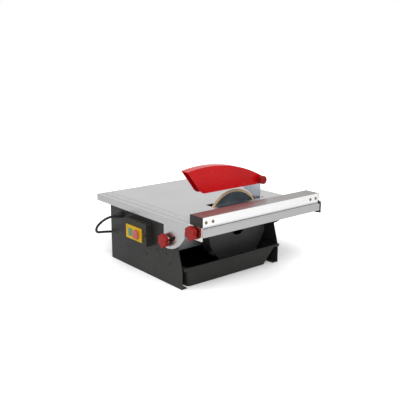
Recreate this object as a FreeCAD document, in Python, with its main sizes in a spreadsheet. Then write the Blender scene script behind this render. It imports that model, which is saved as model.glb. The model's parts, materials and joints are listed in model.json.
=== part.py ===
import FreeCAD, Part
import math
import os
import re

import Sketcher

# A bench tile cutter: a folded steel base with its motor, a tilting sheet-metal table, a diamond
# blade under a red guard, a sliding fence and a water tray.
# +X is to the user's right, +Y is the feed direction, +Z is up.
# The origin is on the bench, at the middle of the base's four fixing holes. All sizes are in mm.

V = FreeCAD.Vector
doc = FreeCAD.newDocument("tile_cutter")
sheet = doc.addObject("Spreadsheet::Sheet", "Sizes")

SIZES = {
    # base of folded sheet
    "base_width": 300, "base_depth": 307, "base_sheet": 1.5, "base_foot": 16,
    "base_knee_height": 44, "bench_hole_radius": 2.75, "bench_hole_inset": 10,
    # table of folded sheet
    "table_width": 440, "table_depth": 370, "table_height": 160, "table_sheet": 1.5,
    "table_flange": 17, "table_left": -209, "table_front": -158.5,
    # blade and its place
    "blade_radius": 90, "blade_core_thickness": 1.8, "blade_rim_thickness": 2.2,
    "blade_rim_depth": 6, "blade_bore": 11.1, "blade_x": 84, "blade_y": 59.5,
    "blade_z": "=table_height - 58",
    "slot_left_gap": 19.5, "slot_right_gap": 10.5, "slot_front_gap": 75, "slot_rear_gap": 95.5,
    # tilt of the table
    "pivot_offset": 16, "pivot_drop": 10, "pivot_radius": 3, "tilt_slot_radius": 42,
    "tilt_bolt_radius": 3, "front_bolt_angle": -90, "rear_bolt_angle": -61, "tilt_range": 45,
    "scale_left": 89, "scale_right": 164, "scale_bottom": "=table_height - 71",
    "scale_corner": "=table_height - 36",
    "scale_edge_radius": 78,
    # motor and arbor
    "motor_radius": 46, "motor_wall": 2, "motor_left": -62, "motor_right": 50,
    "shield_thickness": 10, "shaft_radius": 7.5, "thread_radius": 6.3, "fan_stub_radius": 5,
    "bearing_radius": 17.5, "bearing_width": 11, "stator_bore": 24, "air_gap": 0.5,
    "mount_sheet": 2.5, "mount_bottom": "=table_height - 100",
    "mount_top": "=table_height - 10", "mount_tab": 14,
    "flange_radius": 23, "nut_across": 19, "nut_height": 7,
    # lower blade housing
    "housing_radius": 95, "housing_wall": 2, "housing_right": 100, "housing_top": "=table_height - 24",
    "housing_bottom": "=table_height - 136", "housing_rear": 150.5, "housing_screw_radius": 2,
    # riving knife and guard
    "knife_thickness": 2, "knife_gap": 3, "knife_rear": 151, "knife_tail": 185,
    "knife_tail_bottom": "=table_height - 21", "guard_width": 25, "guard_wall": 2,
    "guard_bottom": "=table_height + 38.5",
    "guard_top": "=table_height + 101.5", "guard_top_radius": 351, "guard_front": -94.5, "guard_lobe": 10.5,
    "guard_pivot_y": 136.5, "guard_swing": 55, "guard_bolt_radius": 3, "guard_knob_radius": 10.5,
    # fence
    "fence_width": 42, "fence_height": 24, "fence_wall": 2, "fence_left": 180,
    "fence_front": -152.5, "fence_length": 367, "fence_lift": 0.3, "bracket_thickness": 3,
    "bracket_drop": 25, "knob_radius": 16, "knob_height": 13,
    # water tray
    "tray_height": 50, "tray_wall": 2, "tray_left": -126, "tray_right": 152,
    "tray_front": -144.5, "tray_rear": 149, "tray_side_draft": 10, "tray_front_draft": 13,
    "tray_rear_draft": 31,
    # switch
    "switch_left": -57, "switch_width": 93, "switch_bottom": "=table_height - 83.5",
    "switch_height": 54.5,
    "switch_depth": 18, "switch_wall": 2, "button_width": 17, "button_height": 19,
    "button_play": 0.3, "green_x": -27, "red_x": 1, "button_z": "=table_height - 59.5",
    "button_travel": 2.5,
    # mains lead
    "cord_radius": 3.2, "boot_length": 24, "boot_x": -95, "boot_z": "=table_height - 34", "coil_x": -202,
    "coil_y": 110, "coil_radius": 36, "coil_section": 19.2,
}


def fill_sheet():
    for row, (name, number) in enumerate(SIZES.items(), start=1):
        sheet.set(f"A{row}", name)
        sheet.set(f"B{row}", str(number))
        sheet.setAlias(f"B{row}", name)
    doc.recompute()


def bind(text):
    """Point every size named in an expression at its cell in the sheet."""
    return re.sub(r"[a-z][a-z0-9_]*", lambda m: "Sizes." + m[0] if m[0] in SIZES else m[0], text)


def measure(text):
    """The number that an expression has at the sheet's present values."""
    result = sheet.evalExpression(bind(text))
    return float(getattr(result, "Value", result))


def around(centre, radius, angle):
    """The expressions of a point on a circle, from the circle's centre, radius and degrees."""
    return (f"{centre[0]} + ({radius}) * cos(({angle}) * 1 deg)",
            f"{centre[1]} + ({radius}) * sin(({angle}) * 1 deg)")


def rectangle(left, bottom, right, top):
    return [(left, bottom), (right, bottom), (right, top), (left, top)]


def rounded_rectangle(left, bottom, right, top, radius):
    return [(f"{left} + {radius}", bottom), (f"{right} - {radius}", bottom, radius),
            (right, f"{bottom} + {radius}"), (right, f"{top} - {radius}", radius),
            (f"{right} - {radius}", top), (f"{left} + {radius}", top, radius),
            (left, f"{top} - {radius}"), (left, f"{bottom} + {radius}", radius)]


# ---------------------------------------------------------------- sketches and features

def new_sketch(body, plane, offset):
    """A sketch on one of the body's planes, moved along the axis across that plane."""
    support = [f for f in body.Origin.OriginFeatures if f.Role == plane + "_Plane"][0]
    sketch = body.newObject("Sketcher::SketchObject", body.Name + "_sketch")
    sketch.AttachmentSupport = [(support, "")]
    sketch.MapMode = "FlatFace"
    sign = "-1" if plane == "XZ" else "1"
    sketch.setExpression("AttachmentOffset.Base.z", bind(f"{sign} * ({offset})"))
    return sketch


def fix(sketch, dimensions):
    """Give a sketch all its dimensions at once, each tied to the sheet by its expression."""
    first = sketch.ConstraintCount
    sketch.addConstraint([Sketcher.Constraint(kind, *place, measure(text))
                          for kind, place, text in dimensions])
    for index, (kind, place, text) in enumerate(dimensions, start=first):
        sketch.setExpression(f"Constraints[{index}]", bind(text))


def arc_between(start, end, radius, hollow):
    """The shorter arc between two corners of a counter-clockwise outline."""
    chord = end - start
    reach = math.sqrt(max(radius ** 2 - chord.Length ** 2 / 4, 0))
    side = V(-chord.y, chord.x, 0).normalize() * reach * (-1 if hollow else 1)
    centre = (start + end) / 2 + side
    first, last = (end, start) if hollow else (start, end)
    angles = [math.atan2(p.y - centre.y, p.x - centre.x) for p in (first, last)]
    return Part.ArcOfCircle(Part.Circle(centre, V(0, 0, 1), radius), angles[0], angles[1])


def draw_outline(sketch, corners):
    """A closed counter-clockwise outline. A corner is (across, up), and a radius after these two
    makes the edge to the next corner an arc, which "hollow" turns inwards."""
    points = [V(measure(c[0]), measure(c[1]), 0) for c in corners]
    first = sketch.GeometryCount
    count = len(corners)
    starts, ends = [], []
    for i, corner in enumerate(corners):
        start, end = points[i], points[(i + 1) % count]
        hollow = len(corner) == 4
        if len(corner) == 2:
            sketch.addGeometry(Part.LineSegment(start, end))
        else:
            sketch.addGeometry(arc_between(start, end, measure(corner[2]), hollow))
        starts.append((first + i, 2 if hollow else 1))
        ends.append((first + i, 1 if hollow else 2))
    sketch.addConstraint([Sketcher.Constraint("Coincident", *ends[i - 1], *starts[i])
                          for i in range(count)])
    dimensions = []
    for i, corner in enumerate(corners):
        dimensions += [("DistanceX", starts[i], corner[0]), ("DistanceY", starts[i], corner[1])]
        if len(corner) > 2:
            dimensions.append(("Radius", (first + i,), corner[2]))
    fix(sketch, dimensions)


def draw_hole(sketch, across, up, radius):
    index = sketch.addGeometry(Part.Circle(V(measure(across), measure(up), 0), V(0, 0, 1),
                                           measure(radius)))
    fix(sketch, [("DistanceX", (index, 3), across), ("DistanceY", (index, 3), up),
                 ("Radius", (index,), radius)])


def draw(sketch, outlines, holes):
    for outline in outlines:
        draw_outline(sketch, outline)
    for hole in holes:
        draw_hole(sketch, *hole)


def add_pad(body, plane, start, thickness, outlines=(), holes=()):
    """Add a slab that starts at a coordinate and grows along the plane's positive axis."""
    sketch = new_sketch(body, plane, start)
    draw(sketch, outlines, holes)
    pad = body.newObject("PartDesign::Pad", body.Name + "_pad")
    pad.Profile = sketch
    pad.Reversed = plane == "XZ"
    pad.setExpression("Length", bind(thickness))
    doc.recompute()
    return pad


def cut(body, plane, start, depth, outlines=(), holes=()):
    """Cut away a slab that starts at a coordinate and grows along the plane's positive axis."""
    before = body.Shape.Volume
    sketch = new_sketch(body, plane, start)
    draw(sketch, outlines, holes)
    pocket = body.newObject("PartDesign::Pocket", body.Name + "_pocket")
    pocket.Profile = sketch
    pocket.Reversed = plane != "XZ"
    pocket.setExpression("Length", bind(depth))
    doc.recompute()
    if body.Shape.Volume >= before - 1e-6:
        raise RuntimeError(body.Label + ": a pocket cut nothing")
    return pocket


def repeat_around(body, feature, count):
    """Repeat a feature about the body's own Z axis."""
    pattern = body.newObject("PartDesign::PolarPattern", body.Name + "_pattern")
    pattern.Originals = [feature]
    pattern.Axis = (feature.Profile[0], ["N_Axis"])
    pattern.Angle = 360
    pattern.Occurrences = count
    body.Tip = pattern
    doc.recompute()


def round_edges(body, chosen, radius):
    """Fillet the edges of the body that a test picks out."""
    solid = body.Tip
    names = [f"Edge{i}" for i, edge in enumerate(solid.Shape.Edges, start=1) if chosen(edge)]
    fillet = body.newObject("PartDesign::Fillet", body.Name + "_fillet")
    fillet.Base = (solid, names)
    fillet.setExpression("Radius", bind(radius))
    doc.recompute()


def runs_along(edge, direction):
    if len(edge.Vertexes) < 2 or not isinstance(edge.Curve, Part.Line):
        return False
    step = edge.Vertexes[1].Point - edge.Vertexes[0].Point
    return abs(abs(step.normalize() * direction) - 1) < 1e-6


# ---------------------------------------------------------------- nodes

nodes = {}


def new_body(label, hidden=False):
    body = doc.addObject("PartDesign::Body", label)
    body.Label = label
    if not hidden:
        nodes[label] = body
    return body


def place(piece, position, direction=V(0, 0, 1)):
    """Move a piece made about its own Z axis to a position, with that axis along a direction."""
    piece.Placement = FreeCAD.Placement(V(), FreeCAD.Rotation(V(0, 0, 1), direction))
    for axis, text in zip("xyz", position):
        piece.setExpression("Placement.Base." + axis, bind(text))


def turned(label, position, direction, profile, hidden=False):
    """A piece turned about its axis, from its half profile of (radius, distance along)."""
    body = new_body(label, hidden)
    sketch = new_sketch(body, "XZ", "0")
    draw_outline(sketch, profile)
    revolution = body.newObject("PartDesign::Revolution", label + "_turn")
    revolution.Profile = sketch
    revolution.ReferenceAxis = (sketch, ["V_Axis"])
    revolution.Angle = 360
    place(body, position, direction)
    doc.recompute()
    return body


def ring_profile(inner, outer, length):
    return rectangle(inner, "0", outer, length)


def group(label, members):
    """Several separate solids that share one node."""
    compound = doc.addObject("Part::Compound", label)
    compound.Label = label
    compound.Links = members
    nodes[label] = compound
    doc.recompute()
    return compound


def screw(label, position, direction, radius, length, head_radius, head_height):
    """A screw whose head stands on the position and whose shank runs against the direction."""
    return turned(label, position, direction, [
        ("0", f"-({length})"), (radius, f"-({length})"), (radius, "0"), (head_radius, "0"),
        (head_radius, f"({head_height}) * 0.6"), (f"({head_radius}) * 0.7", head_height),
        ("0", head_height)], hidden=True)


def screws(label, positions, direction, radius, length, head_radius, head_height):
    return group(label, [screw(f"{label}_{i}", position, direction, radius, length, head_radius,
                               head_height) for i, position in enumerate(positions, start=1)])


def hexagon(across):
    return [around(("0", "0"), f"({across}) / 2 / cos(30 * 1 deg)", str(60 * i))
            for i in range(6)]


def hex_nut(label, position, direction, across, height, bore, hidden=False):
    body = new_body(label, hidden)
    add_pad(body, "XY", "0", height, [hexagon(across)], [("0", "0", bore)])
    place(body, position, direction)
    return body


def star_knob(label, position, direction):
    """A six-lobed clamping knob with a collar, a blind bore and its face away from the work."""
    body = new_body(label)
    add_pad(body, "XY", "0", "knob_height * 0.35", holes=[("0", "0", "knob_radius * 0.55")])
    add_pad(body, "XY", "knob_height * 0.3", "knob_height * 0.7", holes=[("0", "0", "knob_radius")])
    cut(body, "XY", "0", "knob_height * 0.7", holes=[("0", "0", "tilt_bolt_radius + 0.05")])
    scallop = cut(body, "XY", "knob_height * 0.3", "knob_height * 0.7",
                  holes=[("knob_radius * 1.18", "0", "knob_radius * 0.34")])
    repeat_around(body, scallop, 6)
    top = measure("knob_height")
    round_edges(body, lambda e: all(abs(v.Point.z - top) < 1e-6 for v in e.Vertexes),
                "knob_radius * 0.07")
    place(body, position, direction)
    return body


TO_RIGHT, TO_LEFT = V(1, 0, 0), V(-1, 0, 0)
TO_REAR, TO_FRONT = V(0, 1, 0), V(0, -1, 0)

PIVOT_X = "blade_x + pivot_offset"
PIVOT_Z = "table_height - pivot_drop"
PIVOT = (PIVOT_X, PIVOT_Z)
FRONT_BOLT = around(PIVOT, "tilt_slot_radius", "front_bolt_angle")
REAR_BOLT = around(PIVOT, "tilt_slot_radius", "rear_bolt_angle")
FRONT_FACE = "-base_depth / 2"
REAR_FACE = "base_depth / 2"
ARBOR = ("blade_y", "blade_z")
GUARD_PIVOT = ("guard_pivot_y", "guard_bottom + guard_lobe")
MOTOR_SCREW_SPOTS = [around(ARBOR, "motor_radius - 8", angle) for angle in (45, 135, 225, 315)]
MOTOR_SCREW_HOLES = [(*spot, "2.6") for spot in MOTOR_SCREW_SPOTS]


# ---------------------------------------------------------------- base

def end_panel_outline():
    """The front or rear panel: its right edge leans in from the knee and clears the tilted table."""
    reach = "pivot_drop - table_sheet - 1.5"
    tab = around(PIVOT, reach, "45")
    lean_top = ("base_width / 2 - 27", f"{tab[1]} - (base_width / 2 - 27 - ({tab[0]}))")
    return [("-base_width / 2", "0"), ("base_width / 2", "0"),
            ("base_width / 2", "base_knee_height"), lean_top, (tab[0], tab[1], reach),
            (PIVOT_X, f"{PIVOT_Z} + {reach}"), ("-base_width / 2", f"{PIVOT_Z} + {reach}")]


def make_base():
    body = new_body("base_shell")
    top = f"{PIVOT_Z} + pivot_drop - table_sheet - 1.5"
    add_pad(body, "YZ", "-base_width / 2", "base_sheet",
            [rectangle(FRONT_FACE, "0", REAR_FACE, top)])
    pivot_hole = (PIVOT_X, PIVOT_Z, "pivot_radius + 0.05")
    add_pad(body, "XZ", FRONT_FACE, "base_sheet", [end_panel_outline()],
            [pivot_hole, (*FRONT_BOLT, "tilt_bolt_radius + 0.05"),
             ("boot_x", "boot_z", "cord_radius + 2"), ("10.5", "51", "2.2"), ("106", "51", "2.2"),
             ("-14", "button_z + 15", "5")])
    add_pad(body, "XZ", f"{REAR_FACE} - base_sheet", "base_sheet", [end_panel_outline()],
            [pivot_hole, (*REAR_BOLT, "tilt_bolt_radius + 0.05")])
    for front, rear in ((FRONT_FACE, f"{FRONT_FACE} + base_foot"),
                        (f"{REAR_FACE} - base_foot", REAR_FACE)):
        add_pad(body, "XY", "0", "base_sheet",
                [rectangle("-base_width / 2", front, "base_width / 2 - 2", rear)])
    add_pad(body, "XY", "0", "base_sheet",
            [rectangle("-base_width / 2", FRONT_FACE, "-base_width / 2 + base_foot", REAR_FACE)])
    across, along = "base_width / 2 - bench_hole_inset", f"{REAR_FACE} - bench_hole_inset"
    cut(body, "XY", "-1", "base_sheet + 2",
        holes=[(f"{x} * ({across})", f"{y} * ({along})", "bench_hole_radius")
               for x in (-1, 1) for y in (-1, 1)])
    cut(body, "XZ", f"{FRONT_FACE} - 1", "base_sheet + 2", [rectangle("91", "70", "94", "81")])
    clear = "(knife_thickness / 2 + 1)"
    cut(body, "XZ", f"{REAR_FACE} - base_sheet - 1", "base_sheet + 2",
        [rectangle(f"blade_x - {clear}", "knife_tail_bottom - 1.5",
                   f"blade_x + {clear}", "table_height")])


def make_mount_plate():
    """The plate across the base that carries the motor, with a folded tab at each end."""
    body = new_body("motor_mount_plate")
    left = "motor_right + shield_thickness"
    inner = f"{REAR_FACE} - base_sheet"
    add_pad(body, "YZ", left, "mount_sheet",
            [rectangle(f"-({inner})", "mount_bottom", inner, "mount_top")],
            [(*ARBOR, "bearing_radius + 1"), ("-60", "112", "tilt_bolt_radius + 0.1")]
            + MOTOR_SCREW_HOLES)
    for start in (f"-({inner})", f"{inner} - mount_sheet"):
        add_pad(body, "XZ", start, "mount_sheet",
                [rectangle(f"{left} - mount_tab", "mount_bottom", left, "mount_top - 10")])


def make_panel_rivets():
    tab_x = "motor_right + shield_thickness - mount_tab * 0.5"
    spots = [(tab_x, FRONT_FACE, "71"), (tab_x, FRONT_FACE, "134")]
    fronts = [screw(f"rivet_front_{i}", spot, TO_FRONT, "1.6", "base_sheet + mount_sheet", "3", "1")
              for i, spot in enumerate(spots)]
    rears = [screw(f"rivet_rear_{i}", (tab_x, REAR_FACE, height), TO_REAR, "1.6",
                   "base_sheet + mount_sheet", "3", "1") for i, height in enumerate(("71", "134"))]
    holder = [screw(f"rivet_holder_{i}", (x, f"{REAR_FACE} + knife_thickness", "knife_tail_bottom + 9"),
                    TO_REAR, "1.6", "base_sheet + knife_thickness", "3", "1")
              for i, x in enumerate(("blade_x - 9", "blade_x - 18"))]
    group("panel_rivets", fronts + rears + holder)


# ---------------------------------------------------------------- motor and arbor

def on_arbor(x):
    return (x, "blade_y", "blade_z")


def make_motor():
    turned("motor_casing", on_arbor("motor_left"), TO_RIGHT,
           ring_profile("motor_radius - motor_wall", "motor_radius", "motor_right - motor_left"))
    seat = "bearing_radius"
    shields = [turned(f"end_shield_{side}", on_arbor(x), direction, [
        ("shaft_radius + 1", "0"), ("motor_radius", "0"), ("motor_radius", "shield_thickness"),
        (seat, "shield_thickness"), (seat, "2"), ("shaft_radius + 1", "2")], hidden=True)
        for side, x, direction in (("left", "motor_left - shield_thickness", TO_RIGHT),
                                   ("right", "motor_right + shield_thickness", TO_LEFT))]
    group("motor_end_shields", shields)
    group("motor_bearings", [turned(f"bearing_{side}", on_arbor(x), direction, ring_profile(
        "shaft_radius + 0.03", "bearing_radius", "bearing_width"), hidden=True)
        for side, x, direction in (("left", "motor_left - shield_thickness + 2", TO_RIGHT),
                                   ("right", "motor_right + shield_thickness - 2", TO_LEFT))])
    inner_wall = "motor_radius - motor_wall"
    turned("motor_stator", on_arbor("motor_left + 30"), TO_RIGHT,
           ring_profile("stator_bore", inner_wall, "motor_right - motor_left - 60"))
    group("motor_windings", [turned(f"winding_{side}", on_arbor(x), TO_RIGHT, [
        ("stator_bore + 3", "0"), ("stator_bore + 15", "0"), ("stator_bore + 15", "14"),
        ("stator_bore + 3", "14")], hidden=True)
        for side, x in (("left", "motor_left + 16"), ("right", "motor_right - 30"))])
    turned("motor_rotor", on_arbor("motor_left + 28"), TO_RIGHT,
           ring_profile("shaft_radius", "stator_bore - air_gap", "motor_right - motor_left - 56"))
    heads = "motor_right + shield_thickness + mount_sheet + housing_wall"
    screws("motor_screws", [(heads, *spot) for spot in MOTOR_SCREW_SPOTS], TO_RIGHT, "2.5",
           "mount_sheet + housing_wall + 7", "4.5", "3")


def make_fan():
    """A radial fan with a hub and eight straight blades, under a drum-shaped cover."""
    fan_left = "motor_left - shield_thickness - 14"
    body = new_body("cooling_fan")
    add_pad(body, "XY", "0", "9", holes=[("0", "0", "12")])
    add_pad(body, "XY", "0", "1.5", holes=[("0", "0", "motor_radius - 6")])
    blade = add_pad(body, "XY", "0", "9", [rectangle("10", "-0.75", "motor_radius - 7", "0.75")])
    repeat_around(body, blade, 8)
    cut(body, "XY", "-1", "12", holes=[("0", "0", "fan_stub_radius")])
    place(body, on_arbor(fan_left), TO_RIGHT)
    cover = turned("fan_cover", on_arbor("motor_left - shield_thickness - 18"), TO_RIGHT, [
        ("8", "0"), ("motor_radius - 3", "0"), ("motor_radius", "3"), ("motor_radius", "18"),
        ("motor_radius - 1.5", "18"), ("motor_radius - 1.5", "3.5"), ("motor_radius - 3.5", "1.5"),
        ("8", "1.5")])
    slit = cut(cover, "XY", "-1", "4", [rectangle("14", "-2", "motor_radius - 10", "2")])
    repeat_around(cover, slit, 12)


def make_arbor():
    start = "motor_left - shield_thickness - 14"
    shoulder = "blade_x - blade_core_thickness / 2 - 6"
    turned("arbor_shaft", on_arbor(start), TO_RIGHT, [
        ("0", "0"), ("fan_stub_radius", "0"), ("fan_stub_radius", "13"), ("shaft_radius", "13"),
        ("shaft_radius", f"{shoulder} - ({start})"), ("thread_radius", f"{shoulder} - ({start})"),
        ("thread_radius", f"blade_x + 14 - ({start})"), ("0", f"blade_x + 14 - ({start})")])
    core = "blade_core_thickness / 2"
    turned("blade_flange_inner", on_arbor(shoulder), TO_RIGHT, [
        ("thread_radius", "0"), ("flange_radius * 0.6", "0"), ("flange_radius", "3"),
        ("flange_radius", "6"), ("blade_bore - 0.05", "6"),
        ("blade_bore - 0.05", "6 + blade_core_thickness - 0.3"),
        ("thread_radius", "6 + blade_core_thickness - 0.3")])
    turned("blade_flange_outer", on_arbor(f"blade_x + {core}"), TO_RIGHT, [
        ("thread_radius", "0"), ("flange_radius", "0"), ("flange_radius", "2.5"),
        ("flange_radius * 0.6", "4.5"), ("thread_radius", "4.5")])
    hex_nut("arbor_nut", on_arbor(f"blade_x + {core} + 4.5"), TO_RIGHT, "nut_across", "nut_height",
            "thread_radius")


def make_blade():
    rim_inner = "blade_radius - blade_rim_depth"
    turned("blade_core", on_arbor("blade_x - blade_core_thickness / 2"), TO_RIGHT,
           ring_profile("blade_bore", rim_inner, "blade_core_thickness"))
    turned("blade_rim", on_arbor("blade_x - blade_rim_thickness / 2"), TO_RIGHT,
           ring_profile(rim_inner, "blade_radius", "blade_rim_thickness"))


def make_capacitor():
    left = "motor_right + shield_thickness - 68"
    turned("run_capacitor", (left, "-60", "112"), TO_RIGHT, [
        ("0", "0"), ("14", "0"), ("16", "2"), ("16", "66"), ("14", "68"),
        ("tilt_bolt_radius", "68"), ("tilt_bolt_radius", "77"), ("0", "77")])


def make_lock_nuts():
    """The two equal nuts that hold the capacitor's stud and the rear tilt bolt."""
    spots = [(("motor_right + shield_thickness + mount_sheet", "-60", "112"), TO_RIGHT),
             ((REAR_BOLT[0], f"{REAR_FACE} - base_sheet", REAR_BOLT[1]), TO_FRONT)]
    group("lock_nuts", [hex_nut(f"lock_nut_{i}", spot, direction, "10", "5", "tilt_bolt_radius",
                                hidden=True) for i, (spot, direction) in enumerate(spots)])


# ---------------------------------------------------------------- lower blade housing

def across_at(radius, height, side):
    """Where a circle about the arbor passes a height, in front of (-1) or behind (1) the arbor."""
    return f"blade_y + {side} * sqrt(({radius})^2 - (({height}) - blade_z)^2)"


def rise_at(radius, reach, side):
    """Where a circle about the arbor passes a depth, below (-1) or above (1) the arbor."""
    return f"blade_z + {side} * sqrt(({radius})^2 - (({reach}) - blade_y)^2)"


def housing_outline():
    radius = "housing_radius"
    return [(across_at(radius, "housing_bottom", -1), "housing_bottom"),
            (across_at(radius, "housing_bottom", 1), "housing_bottom", radius),
            ("housing_rear", rise_at(radius, "housing_rear", -1)),
            ("housing_rear", rise_at(radius, "housing_rear", 1), radius),
            (across_at(radius, "housing_top", 1), "housing_top"),
            (across_at(radius, "housing_top", -1), "housing_top", radius)]


def housing_ears(radius):
    return [(*around(ARBOR, "housing_radius + 2", str(angle)), radius) for angle in (165, 215, 310)]


def make_housing():
    left = "motor_right + shield_thickness + mount_sheet"
    body = new_body("blade_housing")
    add_pad(body, "YZ", left, f"housing_right - ({left})", [housing_outline()])
    for ear in housing_ears("6"):
        add_pad(body, "YZ", "housing_right - 8", "8", holes=[ear])
    inner = "housing_radius - housing_wall"
    cut(body, "YZ", f"{left} + housing_wall", "housing_right", holes=[(*ARBOR, inner)])
    cut(body, "YZ", f"{left} - 1", "housing_wall + 2",
        holes=[(*ARBOR, "bearing_radius + 1")] + MOTOR_SCREW_HOLES)
    cut(body, "YZ", "housing_right - 7", "8", holes=housing_ears("housing_screw_radius"))


def make_housing_cover():
    body = new_body("blade_housing_cover")
    add_pad(body, "YZ", "housing_right", "1.5", [housing_outline()], [(*ARBOR, "flange_radius")])
    for ear in housing_ears("6"):
        add_pad(body, "YZ", "housing_right", "1.5", holes=[ear])
    cut(body, "YZ", "housing_right - 1", "4", holes=housing_ears("housing_screw_radius"))
    screws("housing_screws", [("housing_right + 1.5", ear[0], ear[1]) for ear in housing_ears("6")],
           TO_RIGHT, "housing_screw_radius", "8", "3.8", "2.4")


# ---------------------------------------------------------------- riving knife and guard

TAIL_TOP = "table_height - table_sheet - 2"
KNIFE_HOLES = [(f"{REAR_FACE} + {reach}", "knife_tail_bottom + 9", "2.55") for reach in (11, 23)]


def make_knife():
    left = "blade_x - knife_thickness / 2"
    radius = "blade_radius + knife_gap"
    lobe = "guard_lobe - guard_wall - 0.7"
    tip = around(ARBOR, radius, "67")
    body = new_body("riving_knife")
    outline = [(across_at(radius, "knife_tail_bottom", 1), "knife_tail_bottom"),
               ("knife_tail", "knife_tail_bottom"), ("knife_tail", TAIL_TOP),
               ("knife_rear", TAIL_TOP), ("knife_rear", f"{GUARD_PIVOT[1]} - 3"),
               (f"guard_pivot_y + {lobe}", GUARD_PIVOT[1], lobe),
               ("guard_pivot_y", f"{GUARD_PIVOT[1]} + {lobe}"),
               (tip[0], f"{GUARD_PIVOT[1]} - 2"), (f"{tip[0]} - 4", f"{tip[1]} + 6"),
               (tip[0], tip[1], radius, "hollow")]
    add_pad(body, "YZ", left, "knife_thickness", [outline],
            [(*GUARD_PIVOT, "guard_bolt_radius + 0.05")] + KNIFE_HOLES)


def make_knife_holder():
    """The angle behind the rear panel that the knife's tail is bolted to."""
    right = "blade_x - knife_thickness / 2"
    body = new_body("riving_knife_holder")
    add_pad(body, "YZ", f"{right} - knife_thickness", "knife_thickness",
            [rectangle(REAR_FACE, "knife_tail_bottom", "knife_tail", TAIL_TOP)], KNIFE_HOLES)
    add_pad(body, "XZ", REAR_FACE, "knife_thickness",
            [rectangle("blade_x - 23", "knife_tail_bottom", right, TAIL_TOP)])
    head = "blade_x + knife_thickness / 2"
    positions = [(head, hole[0], hole[1]) for hole in KNIFE_HOLES]
    bolts = [screw(f"knife_bolt_{i}", position, TO_RIGHT, "2.5", "knife_thickness * 2 + 5.5", "4",
                   "2.5") for i, position in enumerate(positions)]
    group("riving_knife_bolts", bolts)
    group("riving_knife_nuts", [hex_nut(
        f"knife_nut_{i}", (f"{right} - knife_thickness", hole[0], hole[1]), TO_LEFT, "8", "4",
        "2.5", hidden=True) for i, hole in enumerate(KNIFE_HOLES)])


def guard_top_at(reach, inset):
    """The height of the guard's top edge at a depth, on its one long arc."""
    apex = "(guard_front + 66)"
    radius = f"(guard_top_radius - {inset})"
    return f"guard_top - guard_top_radius + sqrt({radius}^2 - (({reach}) - {apex})^2)"


def make_guard():
    left = "blade_x - guard_width / 2"
    pivot_y, pivot_z = GUARD_PIVOT
    body = new_body("blade_guard")
    rear_top = around(GUARD_PIVOT, "guard_lobe", "65")
    outer = [("guard_front + 50", "guard_bottom"), (pivot_y, "guard_bottom", "guard_lobe"),
             (f"{pivot_y} + guard_lobe", pivot_z, "guard_lobe"),
             (rear_top[0], rear_top[1], "guard_top_radius"),
             ("guard_front", guard_top_at("guard_front", "0")),
             ("guard_front + 34", "guard_bottom + 12", "22")]
    add_pad(body, "YZ", left, "guard_width", [outer])
    lobe = "guard_lobe - guard_wall"
    inner_top = around(GUARD_PIVOT, lobe, "65")
    hollow = [("guard_front - 20", "guard_bottom - 10"), (pivot_y, "guard_bottom - 10"),
              (pivot_y, "guard_bottom + guard_wall", lobe), (f"{pivot_y} + {lobe}", pivot_z, lobe),
              (inner_top[0], inner_top[1], "guard_top_radius - guard_wall"),
              ("guard_front - 20", guard_top_at("guard_front - 20", "guard_wall"))]
    cut(body, "YZ", f"{left} + guard_wall", "guard_width - guard_wall * 2", [hollow])
    slot_top = around(GUARD_PIVOT, "guard_lobe", "guard_swing")[1]
    cut(body, "YZ", "blade_x - knife_thickness * 1.5", "knife_thickness * 3",
        [rectangle(pivot_y, "guard_bottom - 5", f"{pivot_y} + guard_lobe + 5", slot_top)])
    cut(body, "YZ", f"{left} - 1", "guard_width + 2",
        holes=[(pivot_y, pivot_z, "guard_bolt_radius + 0.05")])


def make_guard_fixing():
    left = "blade_x - guard_width / 2"
    pivot_y, pivot_z = GUARD_PIVOT
    turned("guard_bolt", (f"{left} - 4", pivot_y, pivot_z), TO_RIGHT, [
        ("0", "0"), ("4.2", "0"), ("5", "1"), ("5", "3.9"), ("guard_bolt_radius", "3.9"),
        ("guard_bolt_radius", "guard_width + 15"), ("0", "guard_width + 15")])
    length = "(guard_width - knife_thickness) / 2 - guard_wall - 0.1"
    group("guard_spacers", [turned(f"guard_spacer_{side}", (x, pivot_y, pivot_z), TO_RIGHT,
                                   ring_profile("guard_bolt_radius + 0.05", "5.5", length),
                                   hidden=True)
                            for side, x in (("left", f"{left} + guard_wall + 0.05"),
                                            ("right", "blade_x + knife_thickness / 2 + 0.05"))])
    body = new_body("guard_knob")
    add_pad(body, "XY", "0", "4", holes=[("0", "0", "guard_knob_radius * 0.5")])
    add_pad(body, "XY", "4", "10", holes=[("0", "0", "guard_knob_radius")])
    cut(body, "XY", "-1", "12", holes=[("0", "0", "guard_bolt_radius + 0.05")])
    rib = cut(body, "XY", "3", "12", holes=[("guard_knob_radius * 1.08", "0", "1.3")])
    repeat_around(body, rib, 12)
    place(body, (f"{left} + guard_width + 0.15", pivot_y, pivot_z), TO_RIGHT)
    doc.recompute()


# ---------------------------------------------------------------- water tray

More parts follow.
